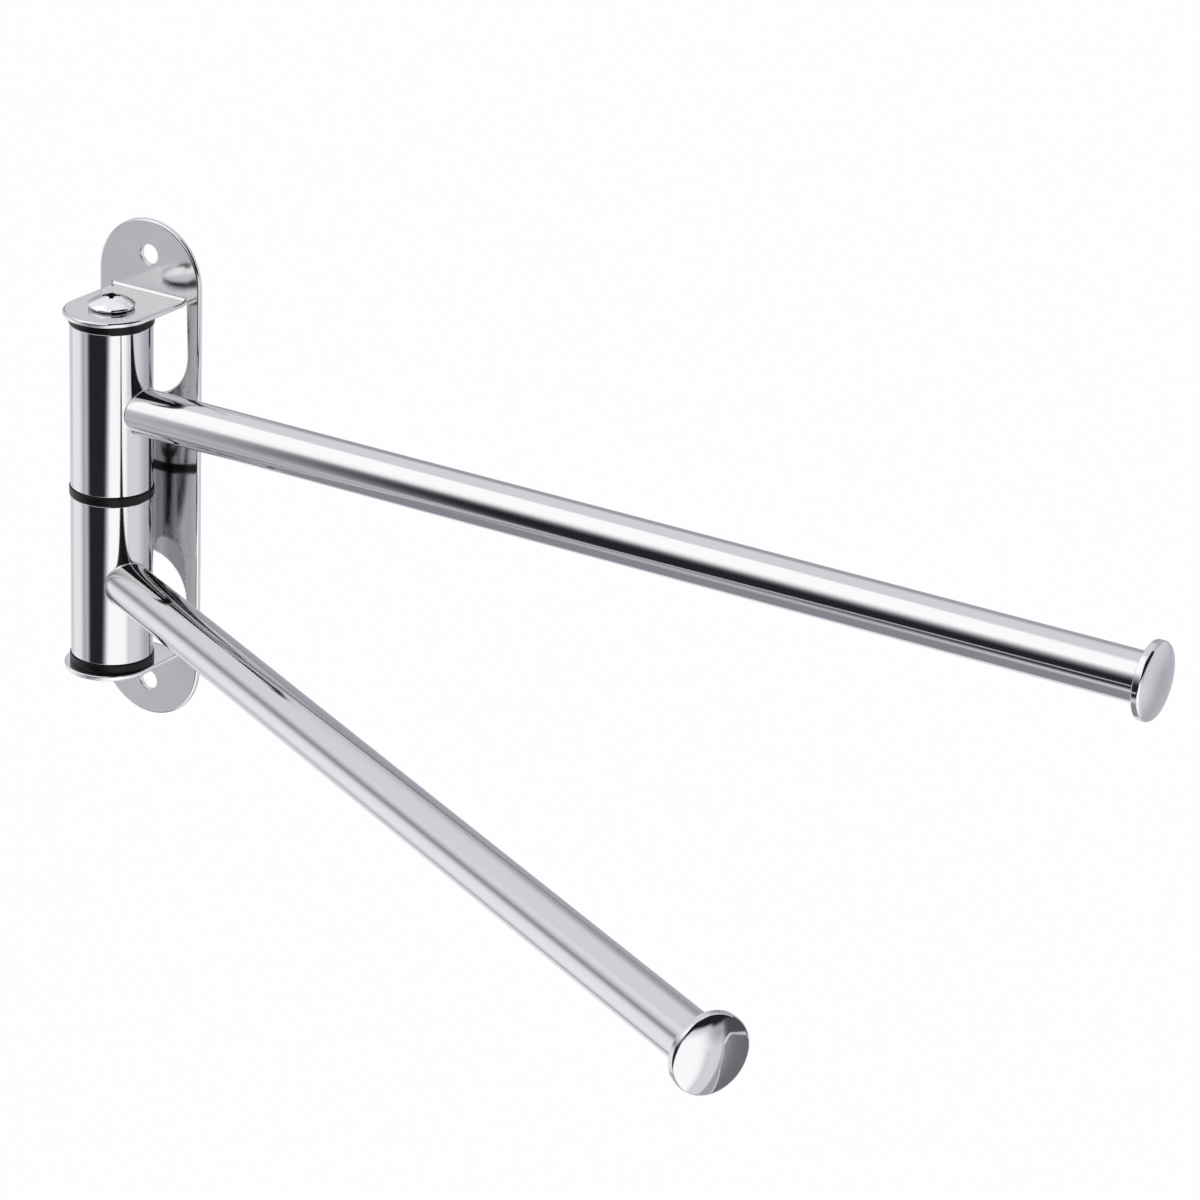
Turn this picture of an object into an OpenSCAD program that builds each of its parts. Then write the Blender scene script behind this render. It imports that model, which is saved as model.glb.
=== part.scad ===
// Double towel rail: two rails that swing one above the other on a wall bracket.
// Millimetres, +Z up. The origin is the centre of the wall plate's back face, the wall is on the
// +Y side, and each rail points along +X where its swing is zero.

/* [Wall bracket] */
// Width of the wall plate, whose ends are half rounds of this diameter
plate_w = 33; // [31:0.5:60]
// Thickness of the bracket's sheet
sheet_t = 1.5; // [1:0.1:2.5]
// Distance from the wall to the axis that the rails swing about
standoff = 17.5; // [16:0.5:40]
// Length of the plate beyond each ear
lug_h = 20; // [15:0.5:40]
// Distance from the plate's ends to the centres of the wall holes
wall_hole_inset = 9.6; // [8:0.1:11]
// Diameter of the wall holes
wall_hole_d = 5.5; // [3.5:0.1:7]
// Width of the two ears, whose tips are half rounds of this diameter
ear_w = 24; // [16:0.5:28]
// Distance that the centre of each ear's round tip lies in front of the swing axis
ear_tip = 1.25; // [0:0.25:6]
// Inside radius of the bend between an ear and the plate
bend_r = 1; // [0.5:0.1:2]
// Width of the slit on each side of an ear where it leaves the plate
slit_w = 0.4; // [0.2:0.1:0.8]
// Length of the window that each ear leaves in the plate, from the ear's inner face
window_h = 26.5; // [15:0.5:40]

/* [Screws] */
// Thread diameter of the two screws
screw_d = 6; // [4:0.5:8]
// Length of each screw under its head
screw_l = 12; // [8:1:20]
// Diameter of the screw heads
head_d = 12.3; // [11:0.1:16]
// Height of the straight rim of a screw head
head_rim = 1.3; // [0.6:0.1:2]
// Height of the dome on a screw head
head_dome = 2.2; // [1.6:0.1:3]
// Width of the cross recess
recess_w = 4.8; // [3:0.1:7]
// Thickness of the recess's wings
recess_wing = 1; // [0.5:0.1:1.5]
// Depth of the cross recess
recess_depth = 2.2; // [1:0.1:2.5]
// Turn at which the screws came to rest
recess_turn = 36; // [0:1:89]

/* [Spindle] */
// Diameter of the bar that the bushes sit on
spindle_d = 10; // [9:0.5:14]
// Depth of the tapped holes in the spindle's ends
tap_depth = 15; // [12:1:24]
// Bevel on the spindle's ends
spindle_bevel = 0.5; // [0.2:0.1:1]

/* [Bushes] */
// Diameter of the bushes' flanges
flange_d = 22.6; // [18:0.1:26]
// Thickness of the bushes' flanges
flange_t = 2.4; // [1.5:0.1:4]
// Length of the part of a bush that reaches into a sleeve
spigot_l = 9; // [4:0.5:15]

/* [Sleeves] */
// Outside diameter of the sleeves
sleeve_d = 22; // [18:0.5:25]
// Wall thickness of the sleeves
sleeve_wall = 1.2; // [0.8:0.1:2]
// Height of one sleeve
sleeve_h = 45.4; // [35:0.2:60]
// Bevel on the sleeves' ends
sleeve_bevel = 0.3; // [0.1:0.1:0.6]

/* [Rails] */
// Outside diameter of the rails
rail_d = 12.7; // [10:0.1:16]
// Wall thickness of the rails
rail_wall = 1; // [0.6:0.1:1.5]
// Distance from the swing axis to the free end of a rail
rail_reach = 302.1; // [150:0.1:600]
// Direction of the upper rail from the wall's line, positive towards the wall
upper_rail_angle = 0; // [-180:0.05:0]
// Direction of the lower rail from the wall's line, positive towards the wall
lower_rail_angle = -27.35; // [-180:0.05:0]

/* [End caps] */
// Diameter of the end caps
cap_d = 19.6; // [17:0.1:30]
// Height of the straight rim of a cap
cap_rim = 1.8; // [0.5:0.1:3]
// Size of the bevel between a cap's rim and its dome
cap_bevel = 0.4; // [0.2:0.1:0.8]
// Height of the dome of a cap
cap_dome = 1.9; // [1:0.1:8]
// Length of the plug that holds a cap in its rail
plug_l = 10; // [5:0.5:20]

/* [Fits] */
// Radial clearance between a sleeve and the bushes that it turns on
run_play = 0.05; // [0.02:0.01:0.1]
// Clearance between a sleeve's ends and the flanges
end_play = 0.05; // [0.02:0.01:0.2]
// Radial clearance of parts that are put together and don't turn
seat_play = 0.03; // [0.02:0.01:0.1]
// Radial clearance round a screw in its ear
ear_hole_play = 0.2; // [0.1:0.05:0.5]

/* [Hidden] */
$fn = 96;
EPS = 0.01;
steel = [0.80, 0.80, 0.82];
screw_steel = [0.86, 0.86, 0.88];
black_plastic = [0.07, 0.07, 0.08];
hidden_steel = [0.62, 0.63, 0.66];

pocket_h = sleeve_h + 2 * end_play;
stack_h = 2 * pocket_h + 3 * flange_t;
ear_in = stack_h / 2;
ear_out = ear_in + sheet_t;
plate_h = 2 * (ear_out + lug_h);
wall_hole_z = plate_h / 2 - wall_hole_inset;
bend_z = ear_out + bend_r;
bend_y = -sheet_t - bend_r;
window_w = ear_w + 2 * slit_w;
pivot_y = -standoff;
sleeve_z = (flange_t + pocket_h) / 2;
sleeve_bore = sleeve_d - 2 * sleeve_wall;
rail_bore = rail_d - 2 * rail_wall;
// Half angle of the drill point at the bottom of the tapped holes
drill_point = 59;

// Radius of the sphere whose cap has the given base radius and height
function dome_r(base_r, h) = (base_r * base_r + h * h) / (2 * h);

// Half outline of a disc with a straight rim and a domed top, for rotate_extrude
module domed_disc(r, rim, dome) {
    intersection() {
        translate([0, rim + dome - dome_r(r, dome)])
            circle(r = dome_r(r, dome), $fn = 192);
        square([r, rim + dome]);
    }
}

// Puts a piece at a height on the swing axis
module on_axis(z) {
    translate([0, pivot_y, z])
        children();
}

// Puts a piece drawn along +X on the swing axis at a height, turned to its rest direction
module on_arm(angle, z) {
    on_axis(z)
        rotate([0, 0, angle])
            children();
}

// Outline of the wall plate, X across and Y up
module plate_outline() {
    square([plate_w, plate_h - plate_w], center = true);
    for (side = [-1, 1])
        translate([0, side * (plate_h - plate_w) / 2])
            circle(d = plate_w);
}

// Outline of the upper window, with a round lower end and a flat top at the bend
module window_outline() {
    end_z = ear_in - window_h + window_w / 2;
    translate([-window_w / 2, end_z])
        square([window_w, bend_z - end_z]);
    translate([0, end_z])
        circle(d = window_w);
}

// Wall plate, with both windows and the wall holes
module plate() {
    rotate([90, 0, 0])
        linear_extrude(sheet_t)
            difference() {
                plate_outline();
                for (side = [0, 1])
                    mirror([0, side]) {
                        window_outline();
                        translate([0, wall_hole_z])
                            circle(d = wall_hole_d);
                    }
            }
}

// Upper ear with the bend that joins it to the plate
module ear() {
    tip_y = pivot_y - ear_tip;
    outer_r = bend_r + sheet_t;
    translate([-ear_w / 2, bend_y, bend_z])
        rotate([90, 0, 90])
            linear_extrude(ear_w)
                intersection() {
                    difference() {
                        circle(r = outer_r);
                        circle(r = bend_r);
                    }
                    translate([0, -outer_r])
                        square(outer_r);
                }
    translate([0, 0, ear_in])
        linear_extrude(sheet_t)
            difference() {
                union() {
                    translate([-ear_w / 2, tip_y])
                        square([ear_w, bend_y - tip_y]);
                    translate([0, tip_y])
                        circle(d = ear_w);
                }
                translate([0, pivot_y])
                    circle(d = screw_d + 2 * ear_hole_play);
            }
}

module wall_bracket() {
    color(steel)
        union() {
            plate();
            for (side = [0, 1])
                mirror([0, 0, side])
                    ear();
        }
}

// Spindle, clamped between the ears and tapped at both ends
module pivot_spindle() {
    tap_r = screw_d / 2 + seat_play;
    color(hidden_steel)
        on_axis(0)
            difference() {
                rotate_extrude()
                    polygon([
                        [0, -ear_in],
                        [spindle_d / 2 - spindle_bevel, -ear_in],
                        [spindle_d / 2, -ear_in + spindle_bevel],
                        [spindle_d / 2, ear_in - spindle_bevel],
                        [spindle_d / 2 - spindle_bevel, ear_in],
                        [0, ear_in]
                    ]);
                for (side = [0, 1])
                    mirror([0, 0, side])
                        translate([0, 0, ear_in - tap_depth]) {
                            cylinder(h = tap_depth + EPS, r = tap_r);
                            translate([0, 0, -tap_r / tan(drill_point)])
                                cylinder(h = tap_r / tan(drill_point), r1 = 0, r2 = tap_r);
                        }
            }
}

// Domed screw with a cross recess, its head standing on z = 0 and its shank pointing down
module domed_screw() {
    head_h = head_rim + head_dome;
    point = screw_d / 8;
    difference() {
        union() {
            rotate_extrude()
                domed_disc(head_d / 2, head_rim, head_dome);
            translate([0, 0, point - screw_l])
                cylinder(h = screw_l - point + head_rim, d = screw_d);
            translate([0, 0, -screw_l])
                cylinder(h = point, d1 = screw_d - 2 * point, d2 = screw_d);
        }
        intersection() {
            translate([0, 0, head_h - recess_depth])
                cylinder(h = recess_depth + EPS, r1 = recess_wing / 2, r2 = recess_w / 2);
            for (turn = [0, 90])
                rotate([0, 0, recess_turn + turn])
                    translate([-recess_w, -recess_wing / 2, 0])
                        cube([2 * recess_w, recess_wing, head_h + 2 * EPS]);
        }
    }
}

module top_screw() {
    color(screw_steel)
        on_axis(ear_out)
            domed_screw();
}

module bottom_screw() {
    color(screw_steel)
        on_axis(-ear_out)
            mirror([0, 0, 1])
                domed_screw();
}

// Bush with its flange centred on z = 0 and spigots of the given lengths above and below
module bush(up, down) {
    difference() {
        union() {
            cylinder(h = flange_t, d = flange_d, center = true);
            translate([0, 0, -flange_t / 2 - down])
                cylinder(h = flange_t + up + down, r = sleeve_bore / 2 - run_play);
        }
        cylinder(h = 2 * (flange_t + spigot_l), r = spindle_d / 2 + seat_play, center = true);
    }
}

module top_bush() {
    color(black_plastic)
        on_axis(ear_in - flange_t / 2)
            bush(0, spigot_l);
}

module middle_bush() {
    color(black_plastic)
        on_axis(0)
            bush(spigot_l, spigot_l);
}

module bottom_bush() {
    color(black_plastic)
        on_axis(flange_t / 2 - ear_in)
            bush(spigot_l, 0);
}

// Sleeve centred on z = 0
module sleeve() {
    bore_r = sleeve_bore / 2;
    outer_r = sleeve_d / 2;
    top = sleeve_h / 2;
    rotate_extrude()
        polygon([
            [bore_r, -top],
            [outer_r - sleeve_bevel, -top],
            [outer_r, sleeve_bevel - top],
            [outer_r, top - sleeve_bevel],
            [outer_r - sleeve_bevel, top],
            [bore_r, top]
        ]);
}

// Rail along +X, its inner end cut to the sleeve's outside
module rail() {
    difference() {
        rotate([0, 90, 0])
            difference() {
                cylinder(h = rail_reach, d = rail_d);
                translate([0, 0, -EPS])
                    cylinder(h = rail_reach + 2 * EPS, d = rail_bore);
            }
        cylinder(h = sleeve_h, d = sleeve_d, center = true);
    }
}

// End cap along +X, seated on the end of its rail with its plug inside
module end_cap() {
    cap_r = cap_d / 2;
    face_r = cap_r - cap_bevel;
    plug_r = rail_bore / 2 - seat_play;
    translate([rail_reach, 0, 0])
        rotate([0, 90, 0])
            rotate_extrude() {
                domed_disc(face_r, cap_rim + cap_bevel, cap_dome);
                polygon([
                    [0, -plug_l],
                    [plug_r - cap_bevel, -plug_l],
                    [plug_r, cap_bevel - plug_l],
                    [plug_r, 0],
                    [cap_r, 0],
                    [cap_r, cap_rim],
                    [face_r, cap_rim + cap_bevel],
                    [0, cap_rim + cap_bevel]
                ]);
            }
}

module upper_sleeve() {
    color(steel)
        on_axis(sleeve_z)
            sleeve();
}

module upper_rail() {
    color(steel)
        on_arm(upper_rail_angle, sleeve_z)
            rail();
}

module upper_cap() {
    color(steel)
        on_arm(upper_rail_angle, sleeve_z)
            end_cap();
}

module lower_sleeve() {
    color(steel)
        on_axis(-sleeve_z)
            sleeve();
}

module lower_rail() {
    color(steel)
        on_arm(lower_rail_angle, -sleeve_z)
            rail();
}

module lower_cap() {
    color(steel)
        on_arm(lower_rail_angle, -sleeve_z)
            end_cap();
}

wall_bracket();
pivot_spindle();
top_screw();
bottom_screw();
top_bush();
middle_bush();
bottom_bush();
upper_sleeve();
upper_rail();
upper_cap();
lower_sleeve();
lower_rail();
lower_cap();
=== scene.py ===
"""Looks of the double towel rail: the polished pieces, the studio round them and the camera.

The scene is in metres, in the CAD frame. The wall is on the +Y side, the pivot is upright, and
the upper rail points along +X. The rail's own sizes are in millimetres: the CAD ones, and with
them the broken edges and fillets that are too fine for the CAD. The studio's are in metres.
"""

import math

import bmesh
import bpy
from mathutils import Matrix, Vector


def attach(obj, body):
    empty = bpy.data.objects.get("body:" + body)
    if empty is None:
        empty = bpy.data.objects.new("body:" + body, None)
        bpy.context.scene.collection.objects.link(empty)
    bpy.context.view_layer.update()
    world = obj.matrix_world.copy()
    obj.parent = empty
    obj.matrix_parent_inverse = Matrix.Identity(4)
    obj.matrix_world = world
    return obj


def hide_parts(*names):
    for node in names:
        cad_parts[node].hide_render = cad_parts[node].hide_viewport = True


MM = 0.001

# Wall bracket, bent from one sheet. The two ears lie at the same height above and below z = 0.
PLATE_W = 33.0
SHEET_T = 1.5
EAR_IN = 49.1
EAR_W = 24.0
EAR_TIP_Y = -18.75
EAR_HOLE_R = 3.2
BEND_R = 1.0
BEND_Z = EAR_IN + SHEET_T + BEND_R
BEND_Y = -SHEET_T - BEND_R
WINDOW_R = 12.4
WINDOW_END_Z = 35.0
LUG_ARC_Z = 54.1
WALL_HOLE_Z = 61.0
WALL_HOLE_R = 2.75

# Rounding of the sheet's edges, and the share of it on the back and round the wall holes
SHEET_EDGE_R = 0.7
BACK_SHARE = 0.4
HOLE_SHARE = 0.4

# Swivel
PIVOT_Y = -17.5
SLEEVE_R = 11.0
SLEEVE_BORE_R = 9.8
SLEEVE_H = 45.4
SLEEVE_Z = 23.95
SLEEVE_EDGE_R = 0.3
SLEEVE_BORE_EDGE_R = 0.15
FLANGE_R = 11.3
FLANGE_T = 2.4
FLANGE_EDGE_R = 0.25
SPIGOT_R = 9.75
SPIGOT_L = 9.0
SPIGOT_EDGE_R = 0.2
BUSH_BORE_R = 5.03
BUSH_BORE_EDGE_R = 0.1

# Rails, their welds and their caps
RAIL_R = 6.35
RAIL_BORE_R = 5.35
RAIL_REACH = 302.1
RAIL_EDGE_R = 0.2
SADDLE_END = 16.5
LOWER_ANGLE = -27.35
WELD_R = 0.45
WELD_DEPTH = 0.3
WELD_LAP = 0.02
CAP_R = 9.8
CAP_RIM = 1.8
CAP_BEVEL = 0.4
CAP_DOME = 1.9
CAP_SOFT = 0.35
CAP_EDGE_R = 0.25
PLUG_R = 5.32
PLUG_L = 10.0
PLUG_EDGE_R = 0.4

# Screws. The recess is cut a little wider than in the CAD, and hollow where its arms meet.
HEAD_R = 6.15
HEAD_RIM = 1.3
HEAD_DOME = 2.2
HEAD_EDGE_R = 0.05
UNDERCUT = 0.55
SHANK_R = 3.0
SHANK_EDGE_R = 0.5
SCREW_L = 12.0
RECESS_W = 5.4
RECESS_WING = 1.2
RECESS_CORE = 3.0
RECESS_TAPER = 0.7
RECESS_DEPTH = 2.2
RECESS_TURN = 36.0

# Corners that read as sharp, how far a cutter stands proud, and slack for telling points apart
CORNER_R = 0.02
PROUD = 0.02
SLACK = 0.001

# Steps of the round shapes, the angle that reads as sharp, and the reach in metres of a merge
TURN_STEPS = 160
FILLET_STEPS = 5
DOME_STEPS = 24
BEND_STEPS = 12
ARC_STEPS = 64
HOLE_STEPS = 32
WELD_STEPS = 6
EDGE_STEPS = 3
SMOOTH_LIMIT = math.radians(35)
MERGE_REACH = 1e-7

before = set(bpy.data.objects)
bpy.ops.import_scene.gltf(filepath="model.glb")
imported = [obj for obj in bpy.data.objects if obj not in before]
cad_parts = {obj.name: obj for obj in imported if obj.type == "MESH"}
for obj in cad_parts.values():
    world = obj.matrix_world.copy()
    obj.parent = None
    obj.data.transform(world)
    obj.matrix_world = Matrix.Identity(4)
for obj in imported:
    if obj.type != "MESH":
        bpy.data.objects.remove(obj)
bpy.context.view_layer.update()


def colour(code):
    """Linear colour of an sRGB hex value."""
    parts = [int(code[i : i + 2], 16) / 255 for i in (1, 3, 5)]
    linear = [c / 12.92 if c <= 0.04045 else ((c + 0.055) / 1.055) ** 2.4 for c in parts]
    return (*linear, 1.0)


def add(tree, kind, inputs, **settings):
    """Adds a node with its settings, and links or sets each of its inputs."""
    node = tree.nodes.new("ShaderNode" + kind)
    for key, value in settings.items():
        setattr(node, key, value)
    for key, value in inputs.items():
        if isinstance(value, bpy.types.NodeSocket):
            tree.links.new(value, node.inputs[key])
        else:
            node.inputs[key].default_value = value
    return node


# Shapes

def rounded(outline):
    """Points and outward normals of a closed outline whose corners (r, h, radius) are rounded.

    The outline runs with the metal on its left. A corner without a radius stays one point.
    """
    points = []
    count = len(outline)
    for i, (r, h, fillet) in enumerate(outline):
        here = Vector((r, h))
        to_last = (Vector(outline[i - 1][:2]) - here).normalized()
        to_next = (Vector(outline[(i + 1) % count][:2]) - here).normalized()
        normal_in = Vector((-to_last.y, to_last.x))
        normal_out = Vector((to_next.y, -to_next.x))
        if not fillet:
            mean = (normal_in + normal_out).normalized()
            points.append((here, mean if r > 0 else Vector((0, mean.y)).normalized()))
            continue
        half = to_last.angle(to_next) / 2
        centre = here + (to_last + to_next).normalized() * fillet / math.sin(half)
        side = 1 if normal_in.angle(to_next) > math.pi / 2 else -1
        for k in range(FILLET_STEPS + 1):
            normal = normal_in.slerp(normal_out, k / FILLET_STEPS)
            points.append((centre + normal * fillet * side, normal))
    return points


def dome_points(base_r, base_h, height):
    """Points and normals of a spherical dome, from its base circle to its top."""
    ball = (base_r * base_r + height * height) / (2 * height)
    spread = math.asin(base_r / ball)
    points = []
    for k in range(DOME_STEPS + 1):
        a = spread * (1 - k / DOME_STEPS)
        normal = Vector((math.sin(a), math.cos(a)))
        points.append((Vector((0, base_h + height - ball)) + normal * ball, normal))
    return points


def shoulder_points(rim_r, rim_h, dome_edge):
    """Points and normals of a soft shoulder from the top of a straight rim to a dome's edge."""
    edge, edge_normal = dome_edge
    start = Vector((rim_r, rim_h))
    corner = Vector((rim_r, edge.y + (rim_r - edge.x) * -edge_normal.x / edge_normal.y))
    points = []
    for k in range(FILLET_STEPS + 1):
        t = k / FILLET_STEPS
        point = start * (1 - t) ** 2 + corner * 2 * t * (1 - t) + edge * t * t
        slope = (corner - start) * (1 - t) + (edge - corner) * t
        points.append((point, Vector((slope.y, -slope.x)).normalized()))
    return points


def turned(name, points, closed, shift=None):
    """Mesh turned about Z from outline points and their normals, which become its shading.

    closed joins the last point to the first. shift moves each finished point, in millimetres,
    and the shading stays as it was.
    """
    mesh_points, normals, faces, rings = [], [], [], []
    for point, normal in points:
        ring = []
        for k in range(TURN_STEPS if point.x > SLACK else 1):
            a = math.tau * k / TURN_STEPS
            spoke = Vector((math.cos(a), math.sin(a), 0))
            spot = spoke * point.x + Vector((0, 0, point.y))
            ring.append(len(mesh_points))
            mesh_points.append((shift(spot) if shift else spot) * MM)
            normals.append(spoke * normal.x + Vector((0, 0, normal.y)))
        rings.append(ring)
    pairs = list(zip(rings, rings[1:] + rings[:1]))
    for low, high in pairs if closed else pairs[:-1]:
        if len(low) == len(high) == 1:
            continue
        for k in range(TURN_STEPS):
            n = (k + 1) % TURN_STEPS
            near = [low[k % len(low)], low[n % len(low)]]
            far = [high[n % len(high)], high[k % len(high)]]
            faces.append(list(dict.fromkeys(near + far)))
    mesh = bpy.data.meshes.new(name)
    mesh.from_pydata(mesh_points, [], faces)
    mesh.shade_smooth()
    mesh.normals_split_custom_set_from_vertices(normals)
    return mesh


def soft_shaded(mesh):
    """Shades a mesh soft, except at its sharp edges."""
    mesh.shade_smooth()
    mesh.set_sharp_from_angle(angle=SMOOTH_LIMIT)
    return mesh


def closed_mesh(name, bm):
    """Mesh of a built shape, its double points merged and its faces turned outwards."""
    bmesh.ops.remove_doubles(bm, verts=bm.verts, dist=MERGE_REACH)
    bmesh.ops.recalc_face_normals(bm, faces=bm.faces)
    mesh = bpy.data.meshes.new(name)
    bm.to_mesh(mesh)
    bm.free()
    return soft_shaded(mesh)


def placed(name, mesh, matrix, finishes, body, node):
    """Shows a mesh on its body, in place of its CAD node where it has one."""
    mesh.transform(matrix)
    obj = bpy.data.objects.new(name, mesh)
    bpy.context.scene.collection.objects.link(obj)
    for material in finishes:
        mesh.materials.append(material)
    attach(obj, body)
    if node:
        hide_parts(node)
    return obj


def at_pivot(z, angle=0.0, flip=False):
    """Place of a piece on the swing axis, turned to its rest direction."""
    place = Matrix.Translation((0, PIVOT_Y * MM, z * MM))
    place @= Matrix.Rotation(math.radians(angle), 4, "Z")
    return place @ Matrix.Rotation(math.pi, 4, "X") if flip else place


def sleeve_mesh():
    """Swing sleeve, a cut of tube with its ends broken by hand polishing."""
    top = SLEEVE_H / 2
    return turned("sleeve", rounded([
        (SLEEVE_BORE_R, -top, SLEEVE_BORE_EDGE_R),
        (SLEEVE_R, -top, SLEEVE_EDGE_R),
        (SLEEVE_R, top, SLEEVE_EDGE_R),
        (SLEEVE_BORE_R, top, SLEEVE_BORE_EDGE_R),
    ]), True)


def bush_mesh(up, down):
    """Flanged plastic bush, with a spigot above and below its flange where there is one."""
    half = FLANGE_T / 2
    outline = [(BUSH_BORE_R, -half - down, BUSH_BORE_EDGE_R)]
    if down:
        outline += [(SPIGOT_R, -half - down, SPIGOT_EDGE_R), (SPIGOT_R, -half, CORNER_R)]
    outline += [(FLANGE_R, -half, FLANGE_EDGE_R), (FLANGE_R, half, FLANGE_EDGE_R)]
    if up:
        outline += [(SPIGOT_R, half, CORNER_R), (SPIGOT_R, half + up, SPIGOT_EDGE_R)]
    outline += [(BUSH_BORE_R, half + up, BUSH_BORE_EDGE_R)]
    return turned("bush", rounded(outline), True)


def rail_mesh():
    """Rail tube along +Z, its near end cut to lie on the sleeve.

    A ring at SADDLE_END follows the cut too, which keeps the rest of the tube straight.
    """
    def to_saddle(spot):
        if spot.z > SADDLE_END:
            return spot
        return spot + Vector((0, 0, math.sqrt(SLEEVE_R ** 2 - spot.y ** 2) - SLEEVE_R))

    return turned("rail", rounded([
        (RAIL_BORE_R, SLEEVE_R, 0),
        (RAIL_R, SLEEVE_R, CORNER_R),
        (RAIL_R, SADDLE_END, 0),
        (RAIL_R, RAIL_REACH, RAIL_EDGE_R),
        (RAIL_BORE_R, RAIL_REACH, RAIL_EDGE_R),
    ]), True, to_saddle)


def cap_mesh():
    """End cap along +Z: a plug, a rim and a pressed dome with a soft shoulder.

    The outline's last two corners only give their neighbours a direction, as in the screw.
    """
    dome_h = CAP_RIM + CAP_BEVEL
    outline = rounded([
        (0, -PLUG_L, 0),
        (PLUG_R, -PLUG_L, PLUG_EDGE_R),
        (PLUG_R, 0, CORNER_R),
        (CAP_R, 0, CAP_EDGE_R),
        (CAP_R, dome_h, 0),
        (0, dome_h, 0),
    ])[:-2]
    dome = dome_points(CAP_R - CAP_BEVEL, dome_h, CAP_DOME)[1:]
    shoulder = shoulder_points(CAP_R, CAP_RIM - CAP_SOFT, dome[0])
    return turned("cap", outline + shoulder + dome[1:], False)


def weld_mesh():
    """Fillet of weld metal round the joint of a rail and its sleeve, the rail along +X.

    Its edges lap into both tubes a little, and so does the root behind the joint.
    """
    bm = bmesh.new()
    rows = []
    for k in range(TURN_STEPS):
        a = math.tau * k / TURN_STEPS
        y, z = RAIL_R * math.sin(a), RAIL_R * math.cos(a)
        x = math.sqrt(SLEEVE_R ** 2 - y * y)
        rail_out = Vector((0, y, z)) / RAIL_R
        sleeve_out = Vector((x, y, 0)) / SLEEVE_R
        reach = WELD_R / (1 + rail_out.dot(sleeve_out))
        joint = Vector((x, y, z))
        centre = joint + (rail_out + sleeve_out) * reach
        row = [joint - (rail_out + sleeve_out) * WELD_DEPTH]
        for j in range(WELD_STEPS + 1):
            inward = (-rail_out).slerp(-sleeve_out, j / WELD_STEPS)
            row.append(centre + inward * (WELD_R + WELD_LAP))
        rows.append([bm.verts.new(point * MM) for point in row])
    for row, after in zip(rows, rows[1:] + rows[:1]):
        for j in range(len(row)):
            m = (j + 1) % len(row)
            bm.faces.new([row[j], after[j], after[m], row[m]])
    return closed_mesh("weld", bm)


def arc(centre, radius, start, end, steps=ARC_STEPS):
    """Points on an arc between two angles in degrees, exactly on x = 0 where they meet it."""
    turn = [math.radians(start + (end - start) * k / steps) for k in range(steps + 1)]
    points = [(centre[0] + radius * math.cos(a), centre[1] + radius * math.sin(a)) for a in turn]
    return [(x if abs(x) > SLACK else 0.0, y) for x, y in points]


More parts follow.
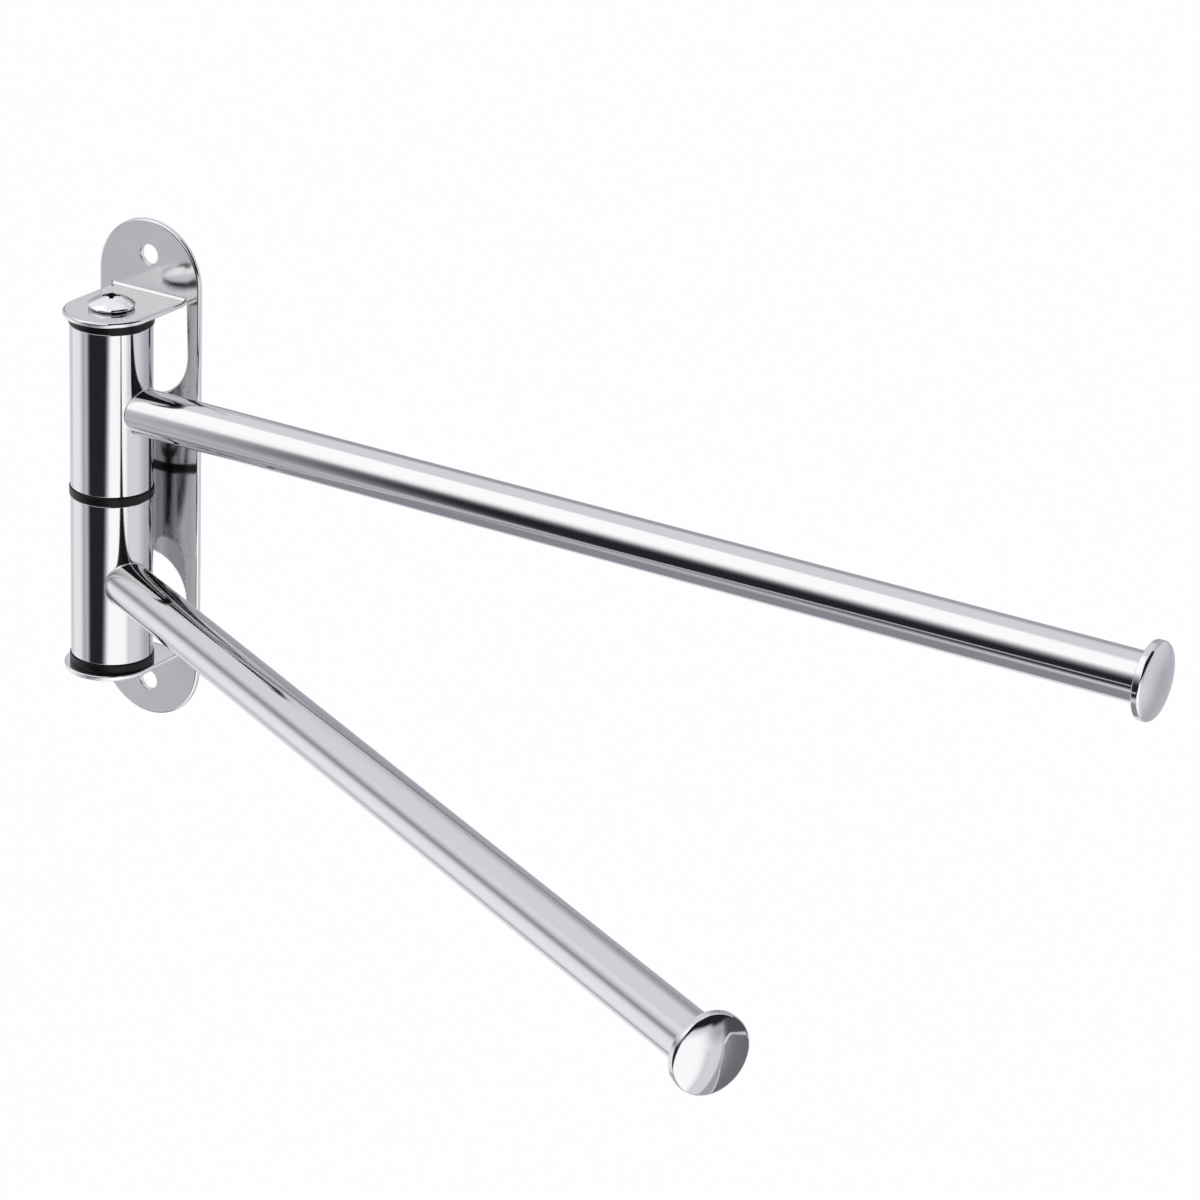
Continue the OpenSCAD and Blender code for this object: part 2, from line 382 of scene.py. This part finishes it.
def bracket_mesh():
    """Wall bracket: the plate with its windows and holes, and the two ears bent out of it.

    The half on the +X side is built and then mirrored. The cut faces take the second finish.
    """
    bm = bmesh.new()
    broken = bm.edges.layers.float.new("bevel_weight_edge")
    half_ear = EAR_W / 2
    hole_reach = WALL_HOLE_R + SLACK

    def in_slit(vertex):
        """Tells whether a point lies in the narrow slit between an ear's root and the plate."""
        x, y, z = (value / MM for value in vertex.co)
        beside_root = WINDOW_END_Z - SLACK < abs(z) < BEND_Z + SLACK
        return beside_root and abs(x) < WINDOW_R + SLACK and y > -SHEET_T - SLACK

    def break_edge(start, end, share=1.0):
        """Gives an edge its share of the rounding, or none in a slit, where there is no room."""
        no_room = in_slit(start) and in_slit(end)
        bm.edges.get((start, end))[broken] = 0.0 if no_room else share

    def sheet(pairs):
        """Adds half of a flat part of the sheet, from its outline on the front and the back.

        It stays open along the middle line and where the bend joins on.
        """
        fronts = [bm.verts.new(Vector(front) * MM) for front, _ in pairs]
        backs = [bm.verts.new(Vector(back) * MM) for _, back in pairs]
        bm.faces.new(fronts)
        bm.faces.new(backs[::-1])
        for i, j in zip(range(len(pairs)), [*range(1, len(pairs)), 0]):
            here, after = pairs[i][0], pairs[j][0]
            on_middle = here[0] == after[0] == 0
            on_bend = abs(here[2]) == abs(after[2]) == BEND_Z and here[0] <= half_ear >= after[0]
            on_ear_root = here[1] == after[1] == BEND_Y
            if on_middle or on_bend or on_ear_root:
                continue
            cut = bm.faces.new([fronts[i], backs[i], backs[j], fronts[j]])
            cut.material_index = 1
            at_hole = here[0] < hole_reach and abs(abs(here[2]) - WALL_HOLE_Z) < hole_reach
            break_edge(fronts[i], fronts[j], HOLE_SHARE if at_hole else 1.0)
            break_edge(backs[i], backs[j], BACK_SHARE)

    upper = arc((0, WINDOW_END_Z), WINDOW_R, 0, -90)[::-1]
    upper += [(WINDOW_R, BEND_Z), (half_ear, BEND_Z), (0, BEND_Z)]
    upper += arc((0, WALL_HOLE_Z), WALL_HOLE_R, -90, 90, HOLE_STEPS)
    upper += arc((0, LUG_ARC_Z), PLATE_W / 2, 90, 0)
    flat = upper + [(x, -z) for x, z in upper[::-1]]
    sheet([((x, -SHEET_T, z), (x, 0, z)) for x, z in flat])

    for side in (1, -1):
        ear = arc((0, EAR_TIP_Y), half_ear, 0, -90)
        ear += arc((0, PIVOT_Y), EAR_HOLE_R, -90, 90, HOLE_STEPS)
        ear += [(0, BEND_Y), (half_ear, BEND_Y)]
        outer, inner = side * (EAR_IN + SHEET_T), side * EAR_IN
        sheet([((x, y, outer), (x, y, inner)) for x, y in ear])
        rows = []
        for k in range(BEND_STEPS + 1):
            a = math.pi / 2 * k / BEND_STEPS
            spoke = Vector((0, math.cos(a), -math.sin(a)))
            row = [
                Vector((x, BEND_Y, BEND_Z)) + spoke * r
                for x, r in (
                    (0, BEND_R),
                    (half_ear, BEND_R),
                    (half_ear, BEND_R + SHEET_T),
                    (0, BEND_R + SHEET_T),
                )
            ]
            rows.append([bm.verts.new(Vector((p.x, p.y, side * p.z)) * MM) for p in row])
        for k, (near, far) in enumerate(zip(rows, rows[1:]), 1):
            for j, finish in enumerate((0, 1, 0)):
                face = bm.faces.new([near[j], near[j + 1], far[j + 1], far[j]])
                face.material_index = finish
            break_edge(near[1], far[1], k / BEND_STEPS)
            break_edge(near[2], far[2], BACK_SHARE * k / BEND_STEPS)
    mirrored = bmesh.ops.duplicate(bm, geom=bm.verts[:] + bm.faces[:])["geom"]
    for part in mirrored:
        if isinstance(part, bmesh.types.BMVert):
            part.co.x = -part.co.x
    return closed_mesh("bracket", bm)


def recess_cutter():
    """Cutter of a screw's recess: two tapered wings, and a core across them where they meet."""
    bm = bmesh.new()
    top = HEAD_RIM + HEAD_DOME
    for turn, wide, thick in (
        (0, RECESS_W, RECESS_WING),
        (90, RECESS_W, RECESS_WING),
        (45, RECESS_CORE, RECESS_CORE),
    ):
        spin = Matrix.Rotation(math.radians(RECESS_TURN + turn), 4, "Z")
        for v in bmesh.ops.create_cube(bm, size=1)["verts"]:
            low = v.co.z < 0
            v.co.x *= RECESS_WING if low else wide
            v.co.y *= thick * (RECESS_TAPER if low else 1)
            v.co.z = top - RECESS_DEPTH if low else top + PROUD
            v.co = spin @ v.co * MM
    # The recess walls take the second finish, whose near black is painted shade of the hollow
    for face in bm.faces:
        face.material_index = 1
    mesh = bpy.data.meshes.new("recess_cutter")
    bm.to_mesh(mesh)
    bm.free()
    return bpy.data.objects.new("recess_cutter", mesh)


def screw_mesh():
    """Low domed screw, its head standing on z = 0, with a cross recess cut into the dome."""
    outline = rounded([
        (0, -SCREW_L, 0),
        (SHANK_R, -SCREW_L, SHANK_EDGE_R),
        (SHANK_R, 0, CORNER_R),
        (HEAD_R - UNDERCUT, 0, 0),
        (HEAD_R, UNDERCUT, HEAD_EDGE_R),
        (HEAD_R, HEAD_RIM, 0),
        (0, HEAD_RIM, 0),
    ])[:-2]
    head = turned("screw", outline + dome_points(HEAD_R, HEAD_RIM, HEAD_DOME), False)
    blank = bpy.data.objects.new("screw_blank", head)
    cutter = recess_cutter()
    for obj in (blank, cutter):
        obj.data.materials.append(screw_steel)
        obj.data.materials.append(recess_painted_shade)
        bpy.context.scene.collection.objects.link(obj)
    cut = blank.modifiers.new("recess", "BOOLEAN")
    cut.object = cutter
    cut.operation = "DIFFERENCE"
    cut.solver = "EXACT"
    cut.use_self = True
    bpy.context.view_layer.update()
    graph = bpy.context.evaluated_depsgraph_get()
    mesh = bpy.data.meshes.new_from_object(blank.evaluated_get(graph))
    for obj in (blank, cutter):
        bpy.data.objects.remove(obj)
    return soft_shaded(mesh)


# Finishes

# Width of the steel's patches, and of the nylon's spark texture
PATCH_MM = 9.0
GRAIN_MM = 0.35


def new_finish(name):
    """New material, with its node tree and its shader."""
    material = bpy.data.materials.new(name)
    material.use_nodes = True
    tree = material.node_tree
    return material, tree, tree.nodes["Principled BSDF"]


def polished_steel(name, tint, roughness, line_mm, stretch, unevenness, angle=0.0):
    """Stainless steel with fine lines in it, in patches that are a little duller or brighter.

    Real polishing lines are about 0.05 mm apart. They are drawn line_mm apart, so that they show.
    A stretch below 1 draws them out along that axis, and the lines of a rail turn with its angle.
    """
    material, tree, shader = new_finish(name)
    shader.inputs["Base Color"].default_value = colour(tint)
    shader.inputs["Metallic"].default_value = 1.0
    place = add(tree, "TexCoord", {}).outputs["Object"]
    along = add(tree, "VectorRotate", {
        "Vector": place, "Angle": -math.radians(angle),
    }, rotation_type="Z_AXIS").outputs[0]
    along = add(tree, "Mapping", {"Vector": along, "Scale": stretch}).outputs[0]
    lines = add(tree, "TexNoise", {
        "Vector": along, "Scale": 1 / (line_mm * MM), "Detail": 3.0, "Roughness": 0.6,
    }).outputs["Fac"]
    patches = add(tree, "TexNoise", {
        "Vector": place, "Scale": 1 / (PATCH_MM * MM), "Detail": 2.0,
    }).outputs["Fac"]
    wear = add(tree, "Math", {0: lines, 1: patches}, operation="MULTIPLY").outputs[0]
    rough = add(tree, "MapRange", {
        "Value": wear, "From Min": 0.1, "From Max": 0.45,
        "To Min": roughness * (1 - unevenness), "To Max": roughness * (1 + unevenness),
    }).outputs[0]
    bump = add(tree, "Bump", {
        "Height": lines, "Strength": 0.02 * unevenness, "Distance": 0.02 * MM,
    }).outputs[0]
    tree.links.new(rough, shader.inputs["Roughness"])
    tree.links.new(bump, shader.inputs["Normal"])
    return material


def moulded_nylon(name):
    """Black nylon, moulded: a soft sheen with the mould's fine spark texture in it.

    Real spark texture is about 0.1 mm wide. It is drawn coarser, so that it shows.
    """
    material, tree, shader = new_finish(name)
    shader.inputs["Specular IOR Level"].default_value = 0.2
    place = add(tree, "TexCoord", {}).outputs["Object"]
    grain = add(tree, "TexNoise", {
        "Vector": place, "Scale": 1 / (GRAIN_MM * MM), "Detail": 3.0,
    }).outputs["Fac"]
    shade = add(tree, "MixRGB", {0: grain, 1: colour("#08080C"), 2: colour("#0F0F14")}).outputs[0]
    rough = add(tree, "MapRange", {"Value": grain, "To Min": 0.26, "To Max": 0.38}).outputs[0]
    bump = add(tree, "Bump", {"Height": grain, "Strength": 0.15, "Distance": 0.05 * MM}).outputs[0]
    tree.links.new(shade, shader.inputs["Base Color"])
    tree.links.new(rough, shader.inputs["Roughness"])
    tree.links.new(bump, shader.inputs["Normal"])
    return material


STEEL = "#CDCDCE"
NO_LINES = (1, 1, 1)
UPRIGHT = (1, 1, 0.05)
SHORT_UPRIGHT = (1, 1, 0.3)
LEVEL_RINGS = (0.1, 0.1, 1)
ALONG_X = (0.03, 1, 1)

# Tube, polished on a wheel: a clean mirror with faint upright lines
tube_steel = polished_steel("polished_stainless_tube", STEEL,
                            roughness=0.08, line_mm=0.5, stretch=UPRIGHT, unevenness=0.25)
# Sheet, polished while it was flat: a hazier mirror, which softens and greys what it shows
sheet_steel = polished_steel("polished_stainless_sheet", STEEL,
                             roughness=0.12, line_mm=0.6, stretch=SHORT_UPRIGHT, unevenness=0.3)
# Its edges, as the press tool sheared them: dull, and so pale all round
sheared_steel = polished_steel("sheared_stainless_edge", "#F2F2F3",
                               roughness=0.42, line_mm=0.4, stretch=NO_LINES, unevenness=0.3)
# Cap, pressed and buffed: the clearest mirror
cap_steel = polished_steel("buffed_stainless_pressing", "#CECECF",
                           roughness=0.05, line_mm=0.5, stretch=NO_LINES, unevenness=0.2)
# Screw head, tumbled bright: a small, brilliant mirror
screw_steel = polished_steel("tumbled_stainless_screw", "#E6E6E7",
                             roughness=0.06, line_mm=0.4, stretch=NO_LINES, unevenness=0.3)
# Its recess, punched and left dull: painted near black, as painted shade of the hollow with some
# grime settled in it
recess_painted_shade = polished_steel("punched_stainless_recess_painted_shade", "#151518",
                              roughness=0.5, line_mm=0.3, stretch=NO_LINES, unevenness=0.3)
# Spindle, turned from bar: satin, with the tool's fine rings
bar_steel = polished_steel("turned_stainless_bar", "#B4B4B8",
                           roughness=0.3, line_mm=0.3, stretch=LEVEL_RINGS, unevenness=0.3)
# Bushes, moulded in nylon: near black, with a soft sheen
bush_nylon = moulded_nylon("moulded_black_nylon")

# Pieces

ALONG_RAIL = Matrix.Rotation(math.pi / 2, 4, "Y")

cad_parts["pivot_spindle"].data.materials[0] = bar_steel

bracket = placed("bent_bracket", bracket_mesh(), Matrix.Identity(4), (sheet_steel, sheared_steel),
                 "bracket", "wall_bracket")
# The broken edges are polished like the sheet
rounding = bracket.modifiers.new("broken_edges", "BEVEL")
rounding.width = SHEET_EDGE_R * MM
rounding.segments = EDGE_STEPS
rounding.limit_method = "WEIGHT"
rounding.harden_normals = True
rounding.use_clamp_overlap = False
rounding.material = 0

for name, z, up, down in (
    ("top", EAR_IN - FLANGE_T / 2, 0, SPIGOT_L),
    ("middle", 0, SPIGOT_L, SPIGOT_L),
    ("bottom", FLANGE_T / 2 - EAR_IN, SPIGOT_L, 0),
):
    placed(name + "_nylon_bush", bush_mesh(up, down), at_pivot(z), (bush_nylon,),
           "bracket", name + "_bush")

# The screws' meshes already carry their two finishes
screw = screw_mesh()
for name, z, flip in (("top", EAR_IN + SHEET_T, False), ("bottom", -EAR_IN - SHEET_T, True)):
    placed(name + "_domed_screw", screw.copy(), at_pivot(z, 0, flip), (),
           "bracket", name + "_screw")

for name, z, angle in (("upper", SLEEVE_Z, 0.0), ("lower", -SLEEVE_Z, LOWER_ANGLE)):
    body = name + "_arm"
    hub = at_pivot(z, angle)
    # Rail tube, polished lengthwise: a mirror whose faint lines run along it
    rail_steel = polished_steel(name + "_polished_stainless_rail", STEEL, roughness=0.07,
                                line_mm=0.5, stretch=ALONG_X, unevenness=0.12, angle=angle)
    placed(name + "_swing_sleeve", sleeve_mesh(), hub, (tube_steel,),
           body, name + "_sleeve")
    placed(name + "_towel_rail", rail_mesh(), hub @ ALONG_RAIL, (rail_steel,),
           body, name + "_rail")
    cap_place = hub @ Matrix.Translation((RAIL_REACH * MM, 0, 0)) @ ALONG_RAIL
    placed(name + "_end_cap", cap_mesh(), cap_place, (cap_steel,),
           body, name + "_cap")
    placed(name + "_weld", weld_mesh(), hub, (tube_steel,), body, None)

# Studio. Its darker parts are a little blue, and the camera itself sees plain white.

CAMERA_TURN = math.radians(31.1545)
WHITE = (1, 1, 1, 1)
COOL = "#EEEEFF"

# Brightness where no patch lies, and the one at which the light has turned from cool to white
BASE_LEVEL = 1.07
FULL_LEVEL = 1.6

# Azimuth, half width, elevation, half height, softness of the edge, brightness. Angles are in
# degrees, and azimuth 0 is the side that the front view is seen from, with +90 to its right.
STUDIO = (
    (-108, 22, -24, 17, 12, 1.26),   # lit left wall
    (-139, 6, -38, 14, 5, 0.60),     # seam of the tent, low on the left
    (-110, 50, -62, 16, 7, 0.42),    # shaded table below left
    (-178, 22, -31, 6.5, 4, 1.02),   # lit table behind
    (-150, 22, -20, 16, 8, 0.92),    # corner of the left and back walls
    (180, 34, 7, 23, 10, 0.50),      # back wall
    (-75, 40, 48, 22, 8, 1.57),      # soft box above left
    (-66, 10, 22, 8, 5, 1.55),       # its lowest corner
    (-105, 28, 6, 6, 9, 0.42),       # seam under the soft box
    (-76, 8, -24, 22, 10, 0.62),     # shade beside the black felt
    (134, 36, -10, 60, 20, 0.67),    # grey right wall
    (106, 30, 2, 12, 9, 0.99),       # its lighter upper part
    (8, 43, -25, 75, 13, 1.54),      # front light
    (54, 3, -52, 36, 5, 0.98),       # gap beside the front light
    (67, 12, 0, 10, 9, 0.62),        # shade beside the open side
    (50, 46, 10, 8, 7, 0.85),        # frame of the open side at the top right
    (50, 46, 36, 30, 2, 0.02),       # open side at the top right
    (73, 16, 20, 17, 3, 0.03),       # its lower corner
)


def soft_step(tree, value, start, end):
    """Smooth step of a value, rising between start and end or falling where end is the lower."""
    rises = end > start
    return add(tree, "MapRange", {
        "Value": value, "From Min": min(start, end), "From Max": max(start, end),
        "To Min": 0.0 if rises else 1.0, "To Max": 1.0 if rises else 0.0,
    }, interpolation_type="SMOOTHSTEP").outputs[0]


def studio_light(tree, ray):
    """Brightness of the studio in a direction, built up from soft-edged patches."""
    turned_ray = add(tree, "VectorRotate", {
        "Vector": ray, "Angle": -CAMERA_TURN,
    }, rotation_type="Z_AXIS").outputs[0]
    parts = add(tree, "SeparateXYZ", {0: turned_ray})
    front = add(tree, "Math", {0: parts.outputs["Y"], 1: -1.0}, operation="MULTIPLY").outputs[0]
    azimuth = add(tree, "Math", {0: parts.outputs["X"], 1: front}, operation="ARCTAN2").outputs[0]
    azimuth = add(tree, "Math", {0: azimuth}, operation="DEGREES").outputs[0]
    elevation = add(tree, "Math", {0: parts.outputs["Z"]}, operation="ARCSINE").outputs[0]
    elevation = add(tree, "Math", {0: elevation}, operation="DEGREES").outputs[0]
    level = BASE_LEVEL
    for centre, half_w, height, half_h, soft, strength in STUDIO:
        off = add(tree, "Math", {0: azimuth, 1: centre}, operation="SUBTRACT").outputs[0]
        off = add(tree, "Math", {0: off, 1: 180.0, 2: -180.0}, operation="WRAP").outputs[0]
        off = add(tree, "Math", {0: off}, operation="ABSOLUTE").outputs[0]
        across = soft_step(tree, off, half_w + soft, half_w - soft)
        off = add(tree, "Math", {0: elevation, 1: height}, operation="SUBTRACT").outputs[0]
        off = add(tree, "Math", {0: off}, operation="ABSOLUTE").outputs[0]
        upward = soft_step(tree, off, half_h + soft, half_h - soft)
        cover = add(tree, "Math", {0: across, 1: upward}, operation="MULTIPLY").outputs[0]
        level = add(tree, "Mix", {"Factor": cover, "A": level, "B": strength}).outputs[0]
    return level


world = bpy.data.worlds.new("light_tent")
bpy.context.scene.world = world
world.use_nodes = True
tent = world.node_tree
tent.nodes.clear()
ray = add(tent, "TexCoord", {}).outputs["Generated"]
level = studio_light(tent, ray)
to_camera = add(tent, "LightPath", {}).outputs["Is Camera Ray"]
shown = add(tent, "Mix", {"Factor": to_camera, "A": level, "B": 1.0}).outputs[0]
share = add(tent, "Math", {0: shown, 1: FULL_LEVEL}, operation="DIVIDE").outputs[0]
tone = add(tent, "MixRGB", {0: share, 1: colour(COOL), 2: WHITE}).outputs[0]
tone = add(tent, "MixRGB", {0: to_camera, 1: tone, 2: WHITE}).outputs[0]
light = add(tent, "Background", {"Color": tone, "Strength": shown}).outputs[0]
add(tent, "OutputWorld", {"Surface": light})


def flat_card(name, centre, across, up):
    """Flat card of the studio, from its centre and its half sides."""
    mesh = bpy.data.meshes.new(name)
    low = [centre - across - up, centre + across - up]
    high = [centre + across + up, centre - across + up]
    mesh.from_pydata(low + high, [], [(0, 1, 2, 3)])
    obj = bpy.data.objects.new(name, mesh)
    bpy.context.scene.collection.objects.link(obj)
    return obj


def empty_tree(name):
    """New material without a node in it, and its tree."""
    material = bpy.data.materials.new(name)
    material.use_nodes = True
    material.node_tree.nodes.clear()
    return material, material.node_tree


# White floor, far below. To the camera it nearly all glows, so it is as white as the tent.
FLOOR_Z = -1.2
FLOOR_HALF = 40
FLOOR_GLOW = 0.95

floor = flat_card(
    "floor", Vector((0, 0, FLOOR_Z)), Vector((FLOOR_HALF, 0, 0)), Vector((0, FLOOR_HALF, 0)),
)
floor.visible_glossy = False
floor_paint, tree = empty_tree("matt_white_floor")
paint = add(tree, "BsdfDiffuse", {"Color": colour("#FDFDFD")}).outputs[0]
glow = add(tree, "Emission", {"Color": WHITE, "Strength": 1.0}).outputs[0]
to_camera = add(tree, "LightPath", {}).outputs["Is Camera Ray"]
share = add(tree, "Math", {0: to_camera, 1: FLOOR_GLOW}, operation="MULTIPLY").outputs[0]
mixed = add(tree, "MixShader", {0: share, 1: paint, 2: glow}).outputs[0]
add(tree, "OutputMaterial", {"Surface": mixed})
floor.data.materials.append(floor_paint)


# Cards that stand nearer, seen in the polish alone

def studio_card(name, centre, across, up, layers, one_sided=False):
    """Evenly lit card, painted in layers of (colour, brightness, edges).

    Each edge is (slope, start, end), a soft step of x - slope * z, or of z where slope is None.
    one_sided leaves its back clear.
    """
    card = flat_card(name, centre, across, up)
    card.visible_camera = card.visible_diffuse = card.visible_shadow = False
    material, tree = empty_tree(name)
    spot = add(tree, "SeparateXYZ", {0: add(tree, "TexCoord", {}).outputs["Object"]})
    x, z = spot.outputs["X"], spot.outputs["Z"]
    surface = add(tree, "BsdfTransparent", {}).outputs[0]
    for tone, brightness, edges in layers:
        cover = None
        for slope, start, end in edges:
            value = z
            if slope is not None:
                value = add(tree, "Math", {
                    0: z, 1: -slope, 2: x,
                }, operation="MULTIPLY_ADD").outputs[0]
            step = soft_step(tree, value, start, end)
            if cover:
                step = add(tree, "Math", {0: cover, 1: step}, operation="MULTIPLY").outputs[0]
            cover = step
        glow = add(tree, "Emission", {"Color": colour(tone), "Strength": brightness}).outputs[0]
        surface = add(tree, "MixShader", {0: cover, 1: surface, 2: glow}).outputs[0]
    behind = add(tree, "NewGeometry", {}).outputs["Backfacing"]
    clear = add(tree, "BsdfTransparent", {}).outputs[0]
    surface = add(tree, "MixShader", {
        0: behind if one_sided else 0.0, 1: surface, 2: clear,
    }).outputs[0]
    add(tree, "OutputMaterial", {"Surface": surface})
    card.data.materials.append(material)


# Left of the camera. It gives the sleeves and the upper rail their dark band.
FELT_RIGHT = (1.58, 1.122, 0.702)
FELT_LAYERS = (
    (COOL, 0.30, ((0, -0.63, -0.20), FELT_RIGHT, (None, -0.95, -0.85), (None, -0.42, -0.52))),
    ("#E2E2FF", 0.035, ((0, -0.64, -0.34), FELT_RIGHT, (None, -0.60, -0.45), (None, 0.64, 0.0))),
)
studio_card("black_felt", Vector((0.05, -0.81, -0.125)),
            Vector((0.75, 0, 0)), Vector((0, 0, 0.825)), FELT_LAYERS)

# Right of the lower rail and edge-on to the upper one. It greys the right half of the lower cap:
# a pale ground with a dark head, and on it a board with a light rim, darker in its near part.
BOARD_EDGES = (
    (-2.24, 0.53, 0.51),
    (2.16, 2.03, 2.01),
    (-2.89, -0.62, -0.58),
    (-17.5, -0.99, -1.17),
    (-5, 0.20, 0.15),
)
RIM_EDGES = (
    (-3.02, 0.54, 0.51),
    (2.59, 2.36, 2.34),
    (-2.83, -0.66, -0.63),
    (-17.5, -0.84, -1.02),
    (-5, 0.30, 0.25),
)
BOARD_LAYERS = (
    ("#F6F6FF", 0.60, ((0, 2.33, 1.00), (None, -0.12, -0.16))),
    ("#F0F0FF", 0.13, ((0, 1.9, 0.75), (None, -0.20, -0.16), (None, 0.04, 0.03))),
    ("#FFFFFF", 1.05, RIM_EDGES),
    ("#F2F2FF", 0.46, BOARD_EDGES),
    ("#F2F2FF", 0.25, ((0, 1.0, 0.35), *BOARD_EDGES)),
)
studio_card("grey_board", Vector((1.335, 0.0657, -0.48)),
            Vector((1.0, 0.0927, 0)), Vector((0, 0, 0.52)), BOARD_LAYERS, one_sided=True)

# Behind on the left, above the table. It lights the top of the bracket's ear.
CARD_EDGES = ((0, -0.93, -0.89), (0, -0.655, -0.70), (None, 0.36, 0.39), (None, 0.62, 0.59))
studio_card("white_card", Vector((-0.79, 1.0, 0.49)),
            Vector((0.15, 0, 0)), Vector((0, 0, 0.14)), (("#FBFBFF", 0.92, CARD_EDGES),))

# Camera, as the photograph's perspective gives it. Its distance and aim are in millimetres from
# the middle of the swing axis.
PITCH = math.radians(22.3047)
ROLL = math.radians(2.4515)
DISTANCE = 1192.79
AIM_RIGHT = 130.837
AIM_UP = -24.173
FOCAL_PX = 4489.6
FRAME_PX = 1200
SENSOR = 36.0

back = Vector((
    math.sin(CAMERA_TURN) * math.cos(PITCH),
    -math.cos(CAMERA_TURN) * math.cos(PITCH),
    math.sin(PITCH),
))
right = Vector((math.cos(CAMERA_TURN), math.sin(CAMERA_TURN), 0))
up = back.cross(right)
eye = back * DISTANCE + right * AIM_RIGHT + up * AIM_UP + Vector((0, PIVOT_Y, 0))
rolled_right = right * math.cos(ROLL) + up * math.sin(ROLL)
rolled_up = up * math.cos(ROLL) - right * math.sin(ROLL)
lens = bpy.data.cameras.new("front_camera")
lens.sensor_width = SENSOR
lens.lens = FOCAL_PX / FRAME_PX * SENSOR
lens.clip_start = 0.01
lens.clip_end = 100
camera = bpy.data.objects.new("front_camera", lens)
turn = Matrix((rolled_right, rolled_up, back)).transposed().to_4x4()
camera.matrix_world = Matrix.Translation(eye * MM) @ turn
bpy.context.scene.collection.objects.link(camera)
bpy.context.scene.camera = camera
bpy.context.scene.view_settings.view_transform = "Standard"
